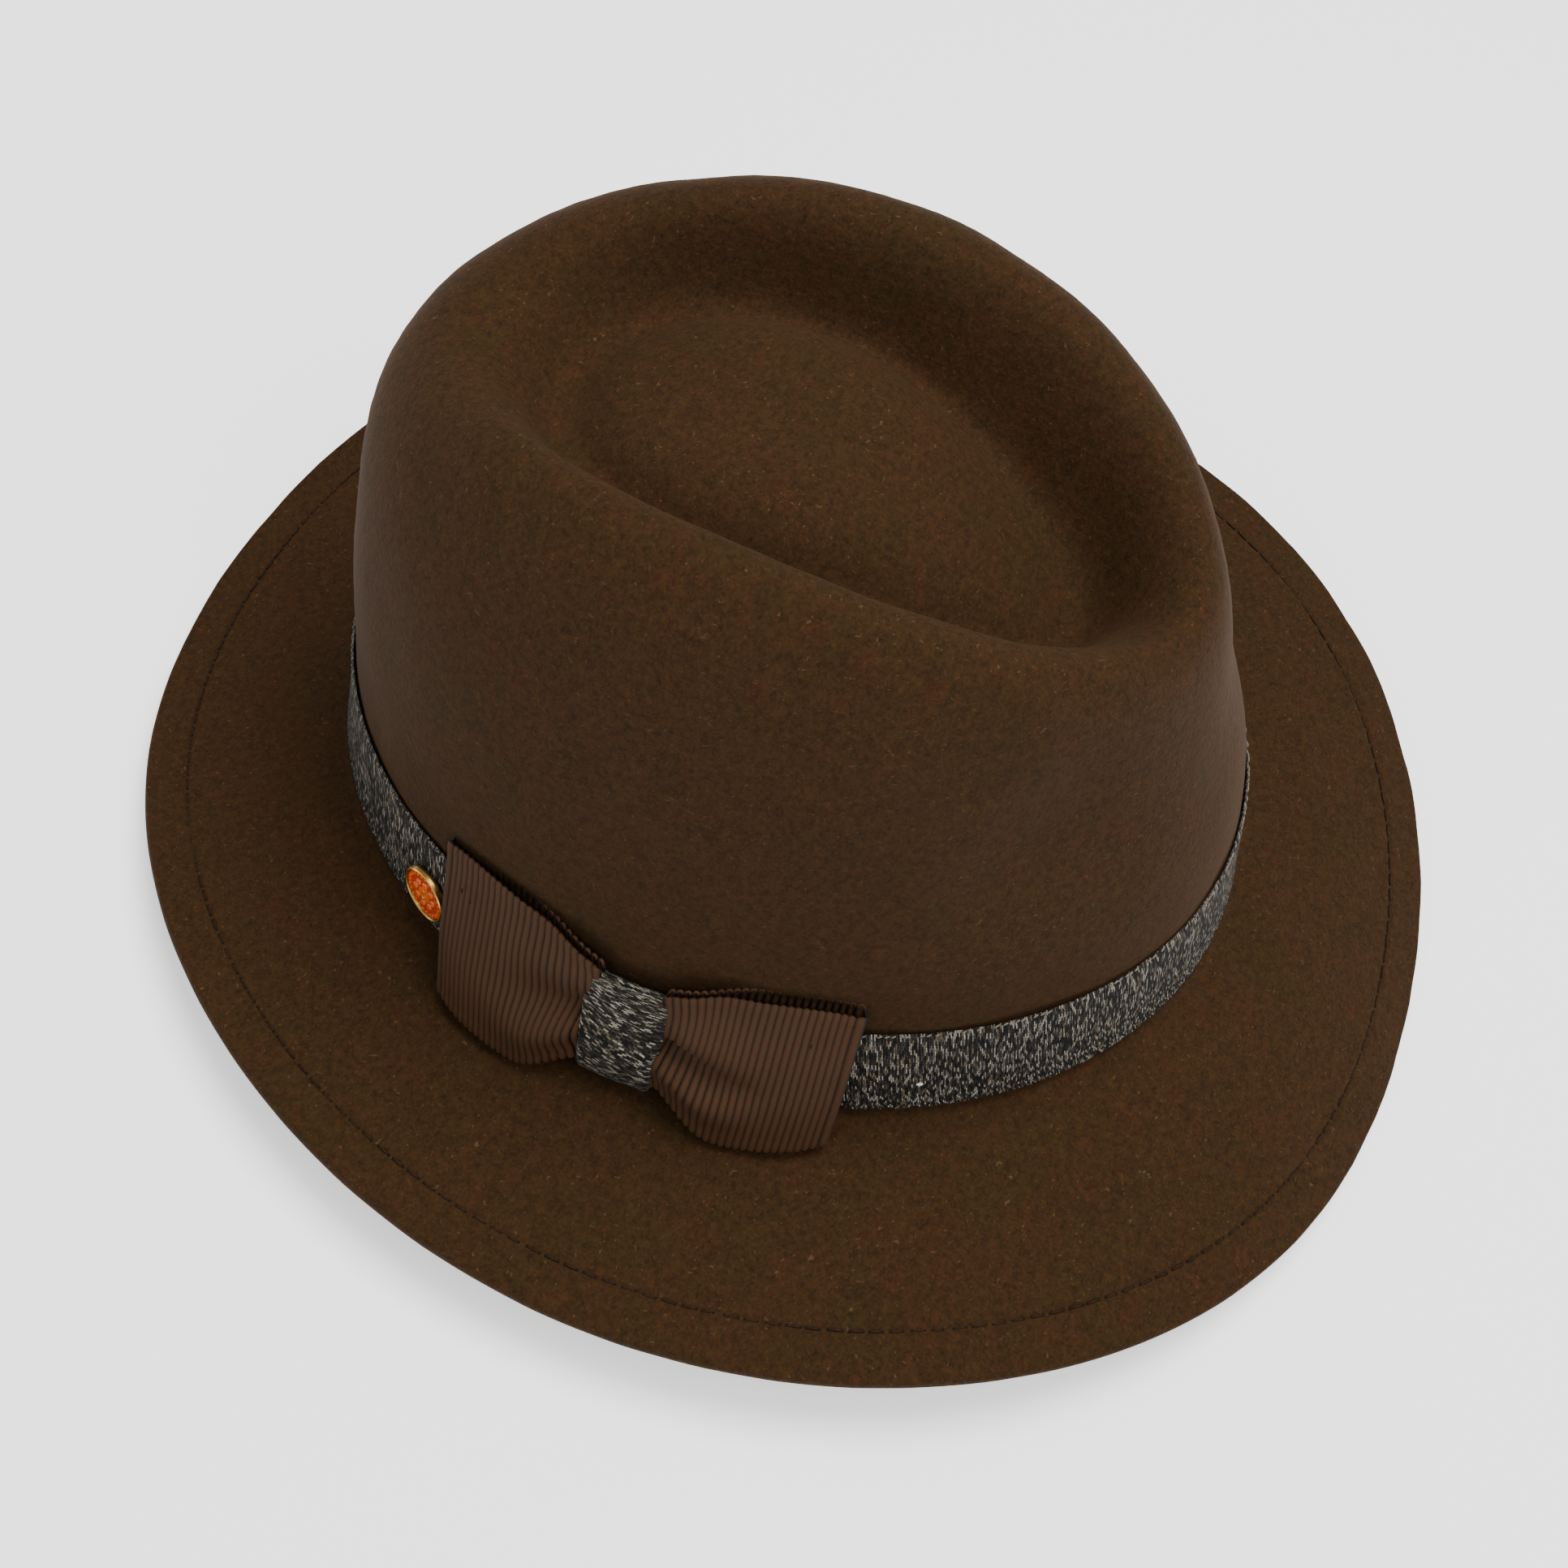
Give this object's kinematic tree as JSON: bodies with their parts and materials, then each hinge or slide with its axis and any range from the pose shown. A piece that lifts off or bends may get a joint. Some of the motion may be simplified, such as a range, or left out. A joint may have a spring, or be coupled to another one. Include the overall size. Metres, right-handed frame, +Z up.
{
  "type": "felt hat",
  "caption": "Short-brimmed brown felt hat with a teardrop crown, melange band, ribbon bow, turning enamel badge, lining and sweatband.",
  "frame": {"origin": "middle of the hat's footprint, at the height of the surface that the brim rests on", "axes": "+Z up through the crown, -Y towards the front of the hat, -X towards the wearer's right, where the bow is"},
  "size_m": [0.276, 0.2923, 0.1368],
  "materials": {
    "felt": "short soft nap, mottled brown",
    "thread": "matte twisted thread",
    "band_cloth": "dark grey melange twill with pale flecks",
    "pale_thread": "matte twisted thread",
    "grosgrain": "ribbed ribbon with a soft sheen",
    "knot_cloth": "grey and white melange twill",
    "gilt": "polished gilt",
    "enamel": "glossy translucent orange enamel",
    "steel": "bright spring steel",
    "sweat_leather": "smooth brown leather",
    "reed_plastic": "milky plastic",
    "tape": "fine cotton tape",
    "label_cloth": "woven satin",
    "lining_satin": "satin with a soft sheen",
    "piping": "satin bias piping"
  },
  "bodies": {
    "root": {"felt_body": "felt", "welt_stitches": "thread", "hat_band": "band_cloth", "band_tacks": "pale_thread", "bow_ribbon": "grosgrain", "bow_knot": "knot_cloth", "bow_tacks": "thread", "sweatband": "sweat_leather", "sweatband_reed": "reed_plastic", "reed_tape": "tape", "sweatband_stitches": "pale_thread", "sweatband_bow": "grosgrain", "size_label": "label_cloth", "lining_side": "lining_satin", "lining_tip": "lining_satin", "lining_piping": "piping"},
    "badge": {"badge_cup": "gilt", "badge_enamel": "enamel", "badge_studs": "gilt", "badge_post": "gilt", "badge_clutch": "steel"}
  },
  "joints": [
    {"name": "badge_spin", "type": "hinge", "parent": "root", "child": "badge", "pos_m": [-0.073, 0.0571, 0.03073], "axis": [-0.8776, 0.4689, 0.0998], "continuous": true}
  ]
}
